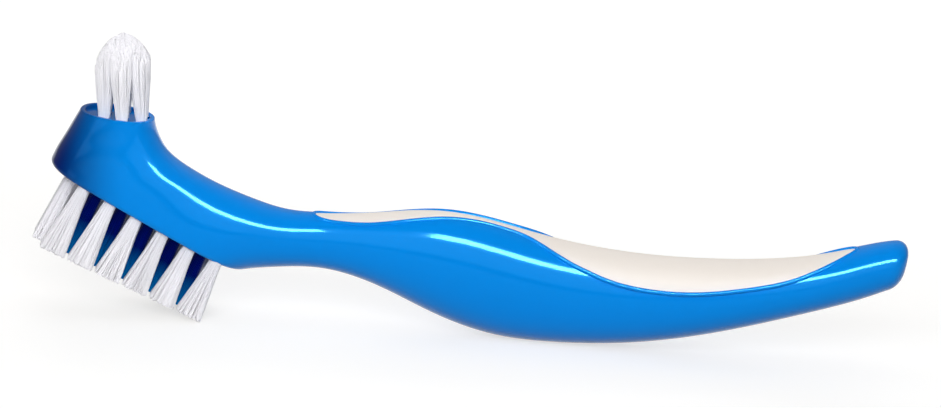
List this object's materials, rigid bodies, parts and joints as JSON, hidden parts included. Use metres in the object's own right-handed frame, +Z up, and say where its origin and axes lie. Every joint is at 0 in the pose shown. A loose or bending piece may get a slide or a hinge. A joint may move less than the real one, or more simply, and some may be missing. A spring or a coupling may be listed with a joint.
{
  "type": "denture brush",
  "caption": "Two-sided denture brush with a curved moulded handle, a soft grip inlay, a broad flat brush under the head and a small pointed brush on top.",
  "frame": {"origin": "on the table under the middle of the length and width, as the brush lies on it", "axes": "+X from the head to the tail of the handle, +Y across the brush, +Z up, out of the small brush"},
  "size_m": [0.1697, 0.0162, 0.0548],
  "materials": {
    "handle_plastic": "glossy moulded polypropylene",
    "inlay_rubber": "satin soft moulded grip",
    "white_nylon": "bundled nylon bristle",
    "blue_nylon": "bundled nylon bristle",
    "anchor_brass": "stamped strip"
  },
  "bodies": {
    "root": {"handle": "handle_plastic", "grip_inlay": "inlay_rubber", "flat_tuft_outer_near_1": "white_nylon", "flat_tuft_outer_near_2": "white_nylon", "flat_tuft_outer_near_3": "white_nylon", "flat_tuft_outer_near_4": "white_nylon", "flat_tuft_outer_near_5": "white_nylon", "flat_tuft_outer_near_6": "white_nylon", "flat_tuft_front_near": "white_nylon", "flat_tuft_inner_near_1": "blue_nylon", "flat_tuft_inner_near_2": "blue_nylon", "flat_tuft_inner_near_3": "blue_nylon", "flat_tuft_inner_near_4": "blue_nylon", "flat_tuft_inner_near_5": "blue_nylon", "flat_tuft_outer_far_1": "white_nylon", "flat_tuft_outer_far_2": "white_nylon", "flat_tuft_outer_far_3": "white_nylon", "flat_tuft_outer_far_4": "white_nylon", "flat_tuft_outer_far_5": "white_nylon", "flat_tuft_outer_far_6": "white_nylon", "flat_tuft_front_far": "white_nylon", "flat_tuft_inner_far_1": "blue_nylon", "flat_tuft_inner_far_2": "blue_nylon", "flat_tuft_inner_far_3": "blue_nylon", "flat_tuft_inner_far_4": "blue_nylon", "flat_tuft_inner_far_5": "blue_nylon", "small_tuft_middle": "white_nylon", "small_tuft_ring_1": "white_nylon", "small_tuft_ring_2": "white_nylon", "small_tuft_ring_3": "white_nylon", "small_tuft_ring_4": "white_nylon", "small_tuft_ring_5": "white_nylon", "small_tuft_ring_6": "white_nylon", "flat_side_anchors": "anchor_brass", "small_side_anchors": "anchor_brass"}
  },
  "joints": []
}
